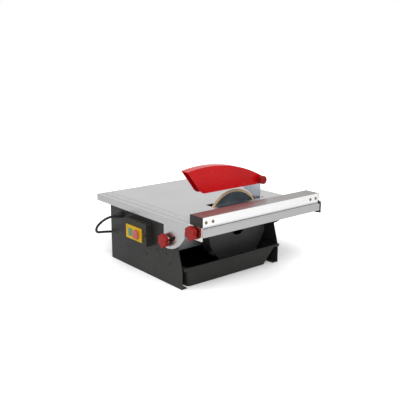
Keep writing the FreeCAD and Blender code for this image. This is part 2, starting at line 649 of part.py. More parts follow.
def make_tray():
    body = new_body("water_tray")

    def shell(kind, inset, floor, top, radius):
        low = [f"tray_left + tray_side_draft + {inset}", f"tray_front + tray_front_draft + {inset}",
               f"tray_right - tray_side_draft - {inset}", f"tray_rear - tray_rear_draft - {inset}"]
        high = [f"tray_left + {inset}", f"tray_front + {inset}", f"tray_right - {inset}",
                f"tray_rear - {inset}"]
        sketches = []
        for height, sides in ((floor, low), (top, high)):
            sketch = new_sketch(body, "XY", height)
            draw_outline(sketch, rounded_rectangle(*sides, radius))
            sketches.append(sketch)
        loft = body.newObject(kind, body.Name + "_loft")
        loft.Profile = sketches[0]
        loft.Sections = [sketches[1]]
        loft.Ruled = True
        doc.recompute()
    shell("PartDesign::AdditiveLoft", "0", "0.5", "tray_height", "10")
    add_pad(body, "XY", "tray_height - 2", "2",
            [rectangle("tray_left - 3", "tray_front - 4", "tray_right - 2", "tray_rear + 1.5")])
    add_pad(body, "XY", "tray_height - 6", "6",
            [rectangle("base_width / 2 + 0.7", f"{FRONT_FACE} + 3.5", "tray_right + 3",
                       f"{REAR_FACE} - 1")])
    shell("PartDesign::SubtractiveLoft", "tray_wall", "0.5 + tray_wall", "tray_height + 0.01",
          "(10 - tray_wall)")


# ---------------------------------------------------------------- table and tilt

def arc_slot(body, start, depth, first):
    """The curved slot that a tilt bolt runs in, concentric with the table's pivot."""
    half = "tilt_bolt_radius + 0.3"
    last = f"{first} + tilt_range"
    inner, outer = f"tilt_slot_radius - ({half})", f"tilt_slot_radius + {half}"
    start_in, start_out = around(PIVOT, inner, first), around(PIVOT, outer, first)
    end_in, end_out = around(PIVOT, inner, last), around(PIVOT, outer, last)
    cut(body, "XZ", start, depth, [[(*start_out, outer), end_out,
                                    (*end_in, inner, "hollow"), start_in]])
    cut(body, "XZ", start, depth, holes=[(*around(PIVOT, "tilt_slot_radius", first), half),
                                         (*around(PIVOT, "tilt_slot_radius", last), half)])


def make_table():
    body = new_body("table_top")
    left, front = "table_left", "table_front"
    right, rear = "table_left + table_width", "table_front + table_depth"
    underside = "table_height - table_sheet"
    low = "table_height - table_flange"
    add_pad(body, "XY", underside, "table_sheet", [rectangle(left, front, right, rear)])
    front_flange = [(left, low), ("scale_left", low), ("scale_left", "scale_bottom",
                                                     "scale_edge_radius"),
                    ("scale_right", "scale_corner"), ("scale_right", low), (right, low),
                    (right, "table_height"), (left, "table_height")]
    add_pad(body, "XZ", front, "table_sheet", [front_flange])
    add_pad(body, "XZ", f"{rear} - table_sheet", "table_sheet",
            [rectangle(left, low, right, "table_height")])
    for start in (left, f"{right} - table_sheet"):
        add_pad(body, "YZ", start, "table_sheet", [rectangle(front, low, rear, "table_height")])
    cut(body, "XY", f"{underside} - 1", "table_sheet + 2",
        [rectangle("blade_x - slot_left_gap", "blade_y - slot_front_gap",
                   "blade_x + slot_right_gap", "blade_y + slot_rear_gap")])
    arc_slot(body, f"{front} - 1", "table_sheet + 2", "front_bolt_angle")
    sides = [measure(text) for text in (left, right, front, rear)]
    top, bottom = measure("table_height"), measure(low)

    def outer_edge(edge):
        ends = [v.Point for v in edge.Vertexes]
        if len(ends) < 2:
            return False
        on_side = (all(min(abs(p.x - sides[0]), abs(p.x - sides[1])) < 1e-4 for p in ends)
                   or all(min(abs(p.y - sides[2]), abs(p.y - sides[3])) < 1e-4 for p in ends))
        level = all(abs(p.z - top) < 1e-4 for p in ends)
        upright = (runs_along(edge, V(0, 0, 1)) and abs(ends[0].z - ends[1].z) > 10
                   and all(min(abs(p.x - sides[0]), abs(p.x - sides[1])) < 1e-4
                           and min(abs(p.y - sides[2]), abs(p.y - sides[3])) < 1e-4 for p in ends))
        return (on_side and level) or upright
    round_edges(body, outer_edge, "table_sheet * 0.9")


def make_tilt_bracket():
    """The plate under the table behind the rear panel, with the same pivot and curved slot."""
    body = new_body("tilt_bracket_rear")
    start = f"{REAR_FACE} + 1.5"
    under = "table_height - table_sheet"
    outline = [("scale_left + 13", "scale_bottom + 4", "scale_edge_radius"),
               ("scale_right", "scale_corner"), ("scale_right", under), (f"{PIVOT_X} - 7", under),
               (f"{PIVOT_X} - 7", f"{PIVOT_Z} - 6"), ("scale_left + 13", f"{PIVOT_Z} - 8")]
    add_pad(body, "XZ", start, "1.5", [outline])
    add_pad(body, "XY", f"{under} - 1.5", "1.5",
            [rectangle(f"{PIVOT_X} - 2", start, "scale_right", f"{start} + 18")])
    arc_slot(body, f"{start} - 1", "4", "rear_bolt_angle")


def make_tilt_fixings():
    front_inner = "table_front + table_sheet"
    stand_off = f"{FRONT_FACE} - ({front_inner}) - 0.3"
    pins = []
    for name, position, direction, step, length in (
            ("front", front_inner, TO_REAR, stand_off, "12"),
            ("rear", f"{REAR_FACE} + 1.5", TO_FRONT, "1.2", "10")):
        pins.append(turned("pivot_pin_" + name, (PIVOT_X, position, PIVOT_Z), direction, [
            ("0", "0"), ("pivot_radius + 2", "0"), ("pivot_radius + 2", step),
            ("pivot_radius", step), ("pivot_radius", length), ("0", length)], hidden=True))
    group("tilt_pivot_pins", pins)
    group("tilt_pivot_nuts", [
        hex_nut("pivot_nut_front", (PIVOT_X, f"{FRONT_FACE} + base_sheet + 0.3", PIVOT_Z), TO_REAR,
                "10", "4.5", "pivot_radius", hidden=True),
        hex_nut("pivot_nut_rear", (PIVOT_X, f"{REAR_FACE} - base_sheet - 0.3", PIVOT_Z), TO_FRONT,
                "10", "4.5", "pivot_radius", hidden=True)])
    front_x, front_z = FRONT_BOLT
    rear_x, rear_z = REAR_BOLT
    length = f"4.8 + ({FRONT_FACE}) - table_front + base_sheet + knob_height * 0.65"
    turned("tilt_bolt_front", (front_x, f"{FRONT_FACE} + base_sheet + 3", front_z), TO_FRONT, [
        ("0", "0"), ("6", "0"), ("6", "3"), ("tilt_bolt_radius", "3"),
        ("tilt_bolt_radius", length), ("0", length)])
    turned("tilt_bolt_rear", (rear_x, f"{REAR_FACE} + 5.3", rear_z), TO_FRONT, [
        ("0", "0"), ("0", "-4"), ("5", "-4"), ("5.5", "-3"), ("5.5", "0"),
        ("tilt_bolt_radius", "0"), ("tilt_bolt_radius", "12.5"), ("0", "12.5")])
    bore = "tilt_bolt_radius + 0.05"
    inner_gap = f"{FRONT_FACE} - table_front - table_sheet - 0.15"
    group("tilt_washers", [
        turned("washer_front", (front_x, "table_front - 0.15", front_z), TO_FRONT,
               ring_profile(bore, "9", "1.5"), hidden=True),
        turned("washer_inner", (front_x, FRONT_FACE, front_z), TO_FRONT,
               ring_profile(bore, "7", inner_gap), hidden=True),
        turned("washer_rear", (rear_x, f"{REAR_FACE} + 3.3", rear_z), TO_REAR,
               ring_profile(bore, "8", "1.9"), hidden=True)])
    star_knob("tilt_knob", (front_x, "table_front - 1.8", front_z), TO_FRONT)


# ---------------------------------------------------------------- fence

FENCE_BOTTOM = "table_height + fence_lift"
FENCE_TOP = "table_height + fence_lift + fence_height"
FENCE_RIGHT = "fence_left + fence_width"
FENCE_REAR = "fence_front + fence_length"
CLAMP_X = "fence_left + 23"
CLAMP_Z = "table_height - 10"
FENCE_LEG = "table_front - bracket_thickness - 0.5"
FENCE_SCREW_Y = ["fence_front + 9", "fence_front + 28", f"{FENCE_REAR} - 28", f"{FENCE_REAR} - 9"]


def make_fence():
    wall = "fence_wall"
    body = new_body("fence_profile")
    add_pad(body, "XZ", "fence_front", "fence_length", [
        rectangle("fence_left", FENCE_BOTTOM, FENCE_RIGHT, FENCE_TOP),
        rectangle(f"fence_left + {wall}", f"{FENCE_BOTTOM} + {wall}", f"{FENCE_RIGHT} - {wall}",
                  f"{FENCE_TOP} - {wall}")])
    round_edges(body, lambda e: runs_along(e, V(0, 1, 0)) and (
        abs(e.Vertexes[0].Point.x - measure("fence_left")) < 1e-6
        or abs(e.Vertexes[0].Point.x - measure(FENCE_RIGHT)) < 1e-6), "0.8")
    cut(body, "YZ", f"{FENCE_RIGHT} - {wall} - 1", f"{wall} + 2",
        holes=[(reach, f"{FENCE_BOTTOM} + fence_height / 2", "2.05") for reach in FENCE_SCREW_Y])


def make_fence_caps():
    caps = []
    for name, plate, plug in (("front", "fence_front - 2", "fence_front"),
                              ("rear", FENCE_REAR, f"{FENCE_REAR} - 3")):
        body = new_body("fence_cap_" + name, hidden=True)
        add_pad(body, "XZ", plate, "2",
                [rectangle("fence_left", FENCE_BOTTOM, FENCE_RIGHT, FENCE_TOP)])
        add_pad(body, "XZ", plug, "3", [rectangle("fence_left + 2.1", f"{FENCE_BOTTOM} + 2.1",
                                                  f"{FENCE_RIGHT} - 2.1", f"{FENCE_TOP} - 2.1")])
        first = plate if name == "front" else plug
        cut(body, "XZ", f"{first} - 1", "7", [rectangle(
            "fence_left + 3.9", f"{FENCE_BOTTOM} - 1", f"{FENCE_RIGHT} - 3.9",
            f"{FENCE_BOTTOM} + 2 + bracket_thickness + 0.1")])
        caps.append(body)
    group("fence_end_caps", caps)


def make_fence_brackets():
    """At each end a strip inside the profile, a block that its screws hold, and a leg in front
    of the table's flange."""
    floor = f"{FENCE_BOTTOM} + fence_wall"
    thick = "bracket_thickness"
    for name, leg, inside, length in (
            ("front", FENCE_LEG, FENCE_LEG, "45"),
            ("rear", f"{FENCE_REAR} + 3", f"{FENCE_REAR} - 38", "44")):
        body = new_body("fence_bracket_" + name)
        add_pad(body, "XY", floor, thick,
                [rectangle("fence_left + 4", inside, f"{FENCE_RIGHT} - 4", f"{inside} + {length}")])
        block = "fence_front + 4" if name == "front" else f"{FENCE_REAR} - 34"
        add_pad(body, "XY", floor, "fence_height - fence_wall * 2 - 0.2",
                [rectangle(f"{FENCE_RIGHT} - 10", block, f"{FENCE_RIGHT} - 2.05", f"{block} + 30")])
        holes = [(CLAMP_X, CLAMP_Z, "tilt_bolt_radius + 0.05")] if name == "front" else []
        add_pad(body, "XZ", leg, thick, [rectangle(
            "fence_left + 8", "table_height - bracket_drop", f"{FENCE_RIGHT} + 7",
            f"{floor} + {thick}")], holes)
    foot = new_body("fence_foot_rear")
    gap = f"{FENCE_REAR} + 3 - table_front - table_depth"
    add_pad(foot, "XZ", f"{FENCE_REAR} + 3 - ({gap}) + 0.15", f"{gap} - 0.15",
            [rectangle("fence_left + 12", "table_height - bracket_drop + 1", f"{FENCE_RIGHT} + 4",
                       "table_height - bracket_drop + 13")])
    screws("fence_screws", [(FENCE_RIGHT, reach, f"{FENCE_BOTTOM} + fence_height / 2")
                            for reach in FENCE_SCREW_Y], TO_RIGHT, "2", "7", "3.6", "0.8")


def make_fence_clamp():
    length = "bracket_thickness + 0.7 + knob_height * 0.65"
    turned("fence_clamp_screw", (CLAMP_X, "table_front - 0.1", CLAMP_Z), TO_FRONT, [
        ("0", "0"), ("tilt_bolt_radius", "0"), ("tilt_bolt_radius", length), ("0", length)])
    star_knob("fence_clamp_knob", (CLAMP_X, f"{FENCE_LEG} - 0.3", CLAMP_Z), TO_FRONT)


# ---------------------------------------------------------------- switch

SWITCH_FACE = f"{FRONT_FACE} - switch_depth"
SWITCH_SCREWS_X = ["switch_left + 5", "switch_left + switch_width - 5"]


def button_window(x, play):
    return rectangle(f"{x} - button_width / 2 - {play}", f"button_z - button_height / 2 - {play}",
                     f"{x} + button_width / 2 + {play}", f"button_z + button_height / 2 + {play}")


def make_switch():
    right = "switch_left + switch_width"
    top = "switch_bottom + switch_height"
    body = new_body("switch_box")
    add_pad(body, "XZ", SWITCH_FACE, "switch_depth",
            [rectangle("switch_left", "switch_bottom", right, top)])
    round_edges(body, lambda e: runs_along(e, V(0, 1, 0)), "3")
    cut(body, "XZ", f"{SWITCH_FACE} + switch_wall", "switch_depth", [rectangle(
        "switch_left + switch_wall", "switch_bottom + switch_wall", f"{right} - switch_wall",
        f"{top} - switch_wall")])
    cut(body, "XZ", f"{SWITCH_FACE} - 1", "switch_wall + 2",
        [button_window("green_x", "button_play"), button_window("red_x", "button_play")])
    cut(body, "XZ", f"{SWITCH_FACE} - 1", "switch_wall + 2",
        holes=[(x, "button_z + 3", "1.7") for x in SWITCH_SCREWS_X])
    frame = new_body("switch_frame")
    add_pad(frame, "XZ", f"{SWITCH_FACE} - 3", "3", [
        rectangle("green_x - 19", "button_z - 16.5", "red_x + 18", "button_z + 16.5"),
        button_window("green_x", "button_play"), button_window("red_x", "button_play")])
    screws("switch_screws", [(x, SWITCH_FACE, "button_z + 3") for x in SWITCH_SCREWS_X], TO_FRONT,
           "1.65", "10", "3.2", "1.8")


def make_button(label, x, proud):
    """A button that stands proud of the frame, with a collar behind the box's face."""
    body = new_body(label)
    front = f"{SWITCH_FACE} - 3 - {proud}"
    add_pad(body, "XZ", front, f"{proud} + 3 + switch_wall + 5", [button_window(x, "0")])
    add_pad(body, "XZ", f"{SWITCH_FACE} + switch_wall + 0.1", "2", [button_window(x, "1.5")])
    face = measure(front)
    round_edges(body, lambda e: all(abs(v.Point.y - face) < 1e-6 for v in e.Vertexes), "1")


def coil_spring(label, x):
    """A return spring between a button and the panel behind it."""
    start, end = measure(f"{SWITCH_FACE} + switch_wall + 5.4"), measure(f"{FRONT_FACE} - 0.6")
    turns, wire, radius = 4, 0.45, 4.0
    length = end - start
    path = Part.makeHelix(length / turns, length, radius)
    section = Part.Wire(Part.makeCircle(wire, V(radius, 0, 0), V(0, 1, 0)))
    spring = Part.Wire(path.Edges).makePipeShell([section], True, True)
    feature = doc.addObject("Part::Feature", label)
    feature.Shape = spring
    place(feature, (x, f"{SWITCH_FACE} + switch_wall + 5.4", "button_z"), TO_REAR)
    doc.recompute()
    return feature


# ---------------------------------------------------------------- mains lead

def make_boot():
    turned("cord_boot", ("boot_x", f"{FRONT_FACE} - boot_length", "boot_z"), TO_REAR, [
        ("0", "0"), ("cord_radius + 1.3", "0"), ("7.6", "boot_length - 3"), ("8.6", "boot_length - 3"),
        ("8.6", "boot_length"), ("cord_radius + 1.9", "boot_length"),
        ("cord_radius + 1.9", "boot_length + base_sheet"), ("7.5", "boot_length + base_sheet"),
        ("7.5", "boot_length + base_sheet + 2.5"), ("0", "boot_length + base_sheet + 2.5")])


def cord_route():
    """The corners of the lead's path, from the boot round the base's corner to its coil."""
    start = V(measure("boot_x"), measure(f"{FRONT_FACE} - boot_length"), measure("boot_z"))
    floor = measure("cord_radius") + 0.4
    return [start, start + V(0, -15, 0), start + V(-5, -36, -9), start + V(-18, -50, -29),
            start + V(-35, -40, -48), start + V(-53, -9, -54), start + V(-64, 30, -60),
            start + V(-70, 82, -74), start + V(-71, 140, -102), V(-166, 10, floor + 3),
            V(-166, 48, floor), V(-166, measure("coil_y") - 27, floor)]


def make_cord():
    """Straight runs joined by arcs, each as large as its two runs allow."""
    points = cord_route()
    edges, previous, length = [], points[0], 0
    for before, corner, after in zip(points, points[1:], points[2:]):
        back, forth = before - corner, after - corner
        run = min(back.Length, forth.Length)
        turn = math.pi - back.getAngle(forth)
        reach = 0.45 * run
        radius = reach / math.tan(turn / 2)
        print(f"cord radius {radius:.0f} mm at a turn of {math.degrees(turn):.0f} degrees")
        enter = corner + back.normalize() * reach
        leave = corner + forth.normalize() * reach
        bisector = (back + forth).normalize()
        middle = corner + bisector * (radius / math.cos(turn / 2) - radius)
        edges += [Part.LineSegment(previous, enter).toShape(), Part.Arc(enter, middle, leave).toShape()]
        previous = leave
    edges.append(Part.LineSegment(previous, points[-1]).toShape())
    path = Part.Wire(edges)
    direction = points[1] - points[0]
    section = Part.Wire(Part.makeCircle(measure("cord_radius"), points[0], direction))
    feature = doc.addObject("Part::Feature", "power_cord")
    feature.Shape = path.makePipeShell([section], True, True)
    nodes["power_cord"] = feature
    expected = math.pi * measure("cord_radius") ** 2 * path.Length
    print(f"cord length {path.Length:.0f} mm, volume {feature.Shape.Volume:.0f} of {expected:.0f}")
    doc.recompute()


def make_coil():
    half = "coil_section / 2"
    corner = "coil_section * 0.2"
    turned("cord_coil", ("coil_x", "coil_y", "0"), V(0, 0, 1), [
        (f"coil_radius - {half} + {corner}", "0"), (f"coil_radius + {half} - {corner}", "0", corner),
        (f"coil_radius + {half}", corner), (f"coil_radius + {half}", f"coil_section - {corner}", corner),
        (f"coil_radius + {half} - {corner}", "coil_section"),
        (f"coil_radius - {half} + {corner}", "coil_section", corner),
        (f"coil_radius - {half}", f"coil_section - {corner}"), (f"coil_radius - {half}", corner, corner)])
    tie = new_body("cord_tie")
    near, far = f"coil_y + coil_radius - {half}", f"coil_y + coil_radius + {half}"
    add_pad(tie, "YZ", "coil_x - 2", "4", [
        rectangle(f"{near} - 1.4", "0", f"{far} + 1.4", "coil_section + 1.2"),
        rectangle(f"{near} - 0.2", "1", f"{far} + 0.2", "coil_section")])


def make_plug():
    """A flat two-pin plug that lies beside the coil, with its tail at the coil."""
    x = "coil_x - coil_radius"
    y = "coil_y - 28"
    body = new_body("plug_body")
    add_pad(body, "XZ", f"{y} - 58", "34",
            [rectangle(f"{x} - 16", "0.2", f"{x} + 16", "14.2")])
    round_edges(body, lambda e: runs_along(e, V(0, 1, 0)), "4")
    add_pad(body, "XZ", f"{y} - 26", "25.5", holes=[(x, "7", "4.6")])
    cut(body, "XZ", f"{y} - 58", "4", holes=[(f"{x} + {side} * 9.5", "7", "2.4") for side in (-1, 1)])
    pins = []
    for i, side in enumerate((-1, 1)):
        pins.append(turned(f"plug_pin_{i}", (f"{x} + {side} * 9.5", f"{y} - 54", "7"), TO_FRONT, [
            ("0", "0"), ("2.4", "0"), ("2.4", "21.5"), ("1.2", "23"), ("0", "23")], hidden=True))
    group("plug_pins", pins)


def check(piece):
    if piece.Shape.isNull() or not piece.Shape.isValid() or not piece.Shape.Solids:
        raise RuntimeError(piece.Label + ": its shape is not a valid solid")


def write_steps():
    doc.recompute()
    for item in doc.Objects:
        if "Invalid" in item.State or "Error" in item.State:
            raise RuntimeError(item.Label + ": " + ", ".join(item.State))
    os.makedirs("parts", exist_ok=True)
    for label, piece in nodes.items():
        check(piece)
        piece.Shape.exportStep(f"parts/{label}.step")
        box = piece.Shape.BoundBox
        print(f"{label:22s} {len(piece.Shape.Solids)} solids, {piece.Shape.Volume / 1000:9.2f} cm3, "
              f"x {box.XMin:.1f} to {box.XMax:.1f}, y {box.YMin:.1f} to {box.YMax:.1f}, "
              f"z {box.ZMin:.1f} to {box.ZMax:.1f}")


fill_sheet()
make_base()
make_mount_plate()
make_panel_rivets()
make_motor()
make_fan()
make_arbor()
make_blade()
make_capacitor()
make_lock_nuts()
make_housing()
make_housing_cover()
make_knife()
make_knife_holder()
make_guard()
make_guard_fixing()
make_tray()
make_table()
make_tilt_bracket()
make_tilt_fixings()
make_fence()
make_fence_caps()
make_fence_brackets()
make_fence_clamp()
make_switch()
make_button("on_button", "green_x", "0.8")
make_button("off_button", "red_x", "6.5")
group("button_springs", [coil_spring("spring_on", "green_x"), coil_spring("spring_off", "red_x")])
make_boot()
make_cord()
make_coil()
make_plug()
write_steps()
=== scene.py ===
import json
import math

import bmesh
import bpy
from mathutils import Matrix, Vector


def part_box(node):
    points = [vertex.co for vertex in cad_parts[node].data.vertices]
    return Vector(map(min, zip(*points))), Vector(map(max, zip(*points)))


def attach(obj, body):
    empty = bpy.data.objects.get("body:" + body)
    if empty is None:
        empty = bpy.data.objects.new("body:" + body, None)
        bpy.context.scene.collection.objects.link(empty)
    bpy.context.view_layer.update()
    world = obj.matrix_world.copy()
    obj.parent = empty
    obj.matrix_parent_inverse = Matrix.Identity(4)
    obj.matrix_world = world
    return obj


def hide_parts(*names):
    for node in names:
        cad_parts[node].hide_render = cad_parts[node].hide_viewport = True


# A bench tile cutter: looks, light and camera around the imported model. Sizes are in metres.

MM = 0.001
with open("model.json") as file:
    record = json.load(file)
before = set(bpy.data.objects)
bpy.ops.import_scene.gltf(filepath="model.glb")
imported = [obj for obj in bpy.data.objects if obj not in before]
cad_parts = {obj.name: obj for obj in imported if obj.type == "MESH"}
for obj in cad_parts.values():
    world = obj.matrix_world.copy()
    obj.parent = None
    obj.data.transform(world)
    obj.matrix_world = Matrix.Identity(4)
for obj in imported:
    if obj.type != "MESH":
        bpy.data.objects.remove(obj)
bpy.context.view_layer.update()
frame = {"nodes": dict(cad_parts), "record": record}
nodes = frame["nodes"]

# the blade's centre and a point on the table's tilt axis
ARBOR = Vector((84, 59.5, 102)) * MM
PIVOT = Vector((100, 0, 150)) * MM


# ---------------------------------------------------------------- camera

CAMERA_PLACE = (1.2076, -0.9616, 0.5359)
CAMERA_PITCH, CAMERA_HEADING = math.radians(76.234), math.radians(50.891)
LENS, SENSOR = 56.6, 36


def make_camera():
    data = bpy.data.cameras.new("camera")
    data.lens = LENS
    data.sensor_width = SENSOR
    camera = bpy.data.objects.new("camera", data)
    camera.location = CAMERA_PLACE
    camera.rotation_euler = (CAMERA_PITCH, 0, CAMERA_HEADING)
    bpy.context.scene.collection.objects.link(camera)
    bpy.context.scene.camera = camera


# ---------------------------------------------------------------- mains lead

CORD_DIAMETER = 6.4 * MM
COIL_CENTRE = Vector((-202, 110, 0)) * MM
# the radii of the coil's three rings and the heights of its three layers, in millimetres
INNER, MIDDLE, OUTER = 29.8, 36.4, 43.0
LOW, HALFWAY, HIGH = 3.4, 9.8, 16.2
# from the boot round the base's front left corner and back along the floor, in millimetres
CORD_ROUTE = [(-95, -177.5, 126), (-95, -190, 126), (-99, -207, 119), (-111, -219, 102),
              (-129, -210, 82), (-147, -182, 74), (-159, -147.5, 66), (-165, -95.5, 52),
              (-166, -37.5, 24), (-166, 10, 6.6), (-165, 48, 3.6), (-161, 80, 3.4)]
# where the wound cord is on its way round: degrees, ring and layer
COIL_STAGES = [(-10, OUTER, LOW), (100, OUTER, LOW), (170, MIDDLE, LOW), (460, MIDDLE, LOW),
               (530, INNER, LOW), (750, INNER, LOW), (820, INNER, HALFWAY),
               (1110, INNER, HALFWAY), (1180, INNER, HIGH), (1430, INNER, HIGH),
               (1500, MIDDLE, HIGH), (1740, MIDDLE, HIGH), (1810, MIDDLE, HALFWAY),
               (2030, MIDDLE, HALFWAY), (2100, OUTER, HALFWAY), (2340, OUTER, HALFWAY)]
COIL_STEP = 20
# from the coil to the plug, in millimetres
PLUG_ROUTE = [(-244, 98, 8.8), (-240.5, 87, 7.4), (-238, 79, 7), (-238, 66, 7)]


def coil_points():
    """The wound turns, with each step's radius and height between those of its two stages."""
    points = []
    angle = COIL_STAGES[0][0]
    while angle <= COIL_STAGES[-1][0]:
        for before, after in zip(COIL_STAGES, COIL_STAGES[1:]):
            if before[0] <= angle <= after[0]:
                share = (angle - before[0]) / (after[0] - before[0])
                radius = (before[1] + (after[1] - before[1]) * share) * MM
                height = (before[2] + (after[2] - before[2]) * share) * MM
        turn = math.radians(angle)
        out = Vector((radius * math.cos(turn), radius * math.sin(turn), height))
        points.append(COIL_CENTRE + out)
        angle += COIL_STEP
    return points


def make_cord():
    points = [Vector(p) * MM for p in CORD_ROUTE] + coil_points()
    points += [Vector(p) * MM for p in PLUG_ROUTE]
    curve = bpy.data.curves.new("mains_lead", "CURVE")
    curve.dimensions = "3D"
    curve.bevel_depth = CORD_DIAMETER / 2
    curve.bevel_resolution = 5
    curve.resolution_u = 8
    curve.use_fill_caps = True
    spline = curve.splines.new("NURBS")
    spline.points.add(len(points) - 1)
    for place, point in zip(spline.points, points):
        place.co = (*point, 1)
    spline.order_u = 3
    spline.use_endpoint_u = True
    cord = bpy.data.objects.new("mains_lead", curve)
    bpy.context.scene.collection.objects.link(cord)
    curve.materials.append(rubber("lead_rubber", (0.012, 0.012, 0.013)))
    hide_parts("power_cord", "cord_coil")
    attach(cord, "base")


# ---------------------------------------------------------------- materials

class Surface:
    """A node material around one Principled shader, in the object's own metres."""

    def __init__(self, name, colour, roughness, metallic=0.0):
        self.material = bpy.data.materials.new(name)
        self.material.use_nodes = True
        self.tree = self.material.node_tree
        self.shader = self.tree.nodes["Principled BSDF"]
        self.shader.inputs["Base Color"].default_value = (*colour, 1)
        self.shader.inputs["Roughness"].default_value = roughness
        self.shader.inputs["Metallic"].default_value = metallic
        self.shader.inputs["Specular IOR Level"].default_value = 0.5 if metallic else 0.22
        self.colour = colour
        self.height = None
        self.place = self.add("ShaderNodeTexCoord").outputs["Object"]

    def add(self, kind, **values):
        node = self.tree.nodes.new(kind)
        for key, value in values.items():
            setattr(node, key, value)
        return node

    def link(self, source, target):
        self.tree.links.new(source, target)

    def noise(self, scale, stretch=(1, 1, 1), detail=4.0):
        """Noise with features about 1 / scale metres across, stretched along the axes."""
        mapping = self.add("ShaderNodeMapping")
        mapping.inputs["Scale"].default_value = stretch
        self.link(self.place, mapping.inputs["Vector"])
        noise = self.add("ShaderNodeTexNoise")
        noise.inputs["Scale"].default_value = scale
        noise.inputs["Detail"].default_value = detail
        self.link(mapping.outputs["Vector"], noise.inputs["Vector"])
        return noise.outputs["Fac"]

    def spread(self, source, low, high):
        """The middle of a noise's values spread over a range."""
        span = self.add("ShaderNodeMapRange")
        span.inputs["From Min"].default_value = 0.3
        span.inputs["From Max"].default_value = 0.7
        span.inputs["To Min"].default_value = low
        span.inputs["To Max"].default_value = high
        self.link(source, span.inputs["Value"])
        return span.outputs["Result"]

    def along(self, axis, start, end):
        """0 to 1 between two places, in metres, along an axis."""
        parts = self.add("ShaderNodeSeparateXYZ")
        self.link(self.place, parts.inputs[0])
        span = self.add("ShaderNodeMapRange")
        span.inputs["From Min"].default_value = start
        span.inputs["From Max"].default_value = end
        self.link(parts.outputs[axis], span.inputs["Value"])
        return span.outputs["Result"]

    def blend(self, share, first, second):
        """A colour between two, by a share that a texture gives."""
        mix = self.add("ShaderNodeMix", data_type="RGBA")
        for socket, colour in ((mix.inputs[6], first), (mix.inputs[7], second)):
            if hasattr(colour, "is_output"):
                self.link(colour, socket)
            else:
                socket.default_value = (*colour, 1)
        self.link(share, mix.inputs[0])
        return mix.outputs[2]

    def vary_colour(self, source, darker, lighter):
        """Base colour that wanders between two multiples of the surface's own."""
        shade = self.blend(self.spread(source, 0, 1), [c * darker for c in self.colour],
                           [min(c * lighter, 1) for c in self.colour])
        self.link(shade, self.shader.inputs["Base Color"])
        return shade

    def vary_roughness(self, source, low, high):
        self.link(self.spread(source, low, high), self.shader.inputs["Roughness"])

    def bump(self, source, depth, strength=0.5):
        """Relief of a depth in metres, on top of any relief that is there."""
        node = self.add("ShaderNodeBump")
        node.inputs["Strength"].default_value = strength
        node.inputs["Distance"].default_value = depth
        self.link(source, node.inputs["Height"])
        if self.height:
            self.link(self.height, node.inputs["Normal"])
        self.height = node.outputs["Normal"]
        self.link(self.height, self.shader.inputs["Normal"])


def rubber(name, colour):
    surface = Surface(name, colour, 0.5)
    surface.vary_colour(surface.noise(120), 0.8, 1.4)
    surface.vary_roughness(surface.noise(300), 0.42, 0.58)
    surface.bump(surface.noise(1500, detail=2), 0.00005)
    return surface.material


def brushed(name, colour, roughness, grain=(0.02, 1, 1)):
    """Rolled or ground metal with a grain along its squeezed axis, and faint smudges."""
    surface = Surface(name, colour, roughness, metallic=1.0)
    lines = surface.noise(1400, grain, detail=2)
    surface.vary_colour(lines, 0.96, 1.04)
    surface.vary_roughness(surface.noise(9, detail=3), roughness * 0.88, roughness * 1.12)
    surface.bump(lines, 0.000004, 0.15)
    return surface.material


def extrusion_with_painted_shade(name, colour, painted_shade_top_colour, roughness):
    """Drawn aluminium, bright on its sides, with painted shade making its top darker, most of
    all at the rear.
    """
    surface = Surface(name, colour, roughness, metallic=1.0)
    upward = surface.add("ShaderNodeSeparateXYZ")
    surface.link(surface.add("ShaderNodeTexCoord").outputs["Normal"], upward.inputs[0])
    lines = surface.noise(1400, (1, 0.02, 1), detail=2)
    side = surface.vary_colour(lines, 0.96, 1.04)
    # painted shade: the top colour darkens to 0.6 of itself towards the rear
    top = surface.blend(surface.along(1, -0.1, 0.2), painted_shade_top_colour, [c * 0.6 for c in painted_shade_top_colour])
    # painted shade: faces that point up take the darker top colour instead of the side colour
    shade = surface.blend(upward.outputs["Z"], side, top)
    surface.link(shade, surface.shader.inputs["Base Color"])
    surface.vary_roughness(surface.noise(9, detail=3), roughness * 0.88, roughness * 1.12)
    surface.bump(lines, 0.000004, 0.15)
    return surface.material


def powder_coat(name, colour, roughness):
    """Baked paint with a fine orange peel and slightly paler rubbed patches."""
    surface = Surface(name, colour, roughness)
    surface.vary_colour(surface.noise(22, detail=6), 0.88, 1.15)
    surface.vary_roughness(surface.noise(90), roughness * 0.85, roughness * 1.15)
    surface.bump(surface.noise(950, detail=2), 0.0001, 0.35)
    return surface.material


def moulded(name, colour, roughness, grain=1400, depth=0.00006):
    """Moulded plastic with a fine spark-eroded grain."""
    surface = Surface(name, colour, roughness)
    surface.vary_colour(surface.noise(35), 0.92, 1.1)
    surface.vary_roughness(surface.noise(160), roughness * 0.88, roughness * 1.12)
    surface.bump(surface.noise(grain, detail=2), depth, 0.4)
    return surface.material


def glossy_guard(name, colour):
    """Injection-moulded gloss with faint flow marks and fine scuffs."""
    surface = Surface(name, colour, 0.22)
    surface.vary_colour(surface.noise(14), 0.88, 1.12)
    surface.vary_roughness(surface.noise(220, (1, 0.15, 1), detail=6), 0.17, 0.30)
    surface.bump(surface.noise(18, detail=1), 0.0003, 0.12)
    return surface.material


def blade_steel(name, colour, centre):
    """Lapped steel with rings turned about the arbor."""
    surface = Surface(name, colour, 0.38, metallic=1.0)
    mapping = surface.add("ShaderNodeMapping")
    mapping.inputs["Location"].default_value = -centre
    surface.link(surface.place, mapping.inputs["Vector"])
    rings = surface.add("ShaderNodeTexWave", wave_type="RINGS", rings_direction="X")
    rings.inputs["Scale"].default_value = 260
    rings.inputs["Distortion"].default_value = 1.5
    surface.link(mapping.outputs["Vector"], rings.inputs["Vector"])
    surface.vary_colour(surface.noise(45, detail=6), 0.75, 1.3)
    surface.bump(rings.outputs["Fac"], 0.00002, 0.3)
    return surface.material


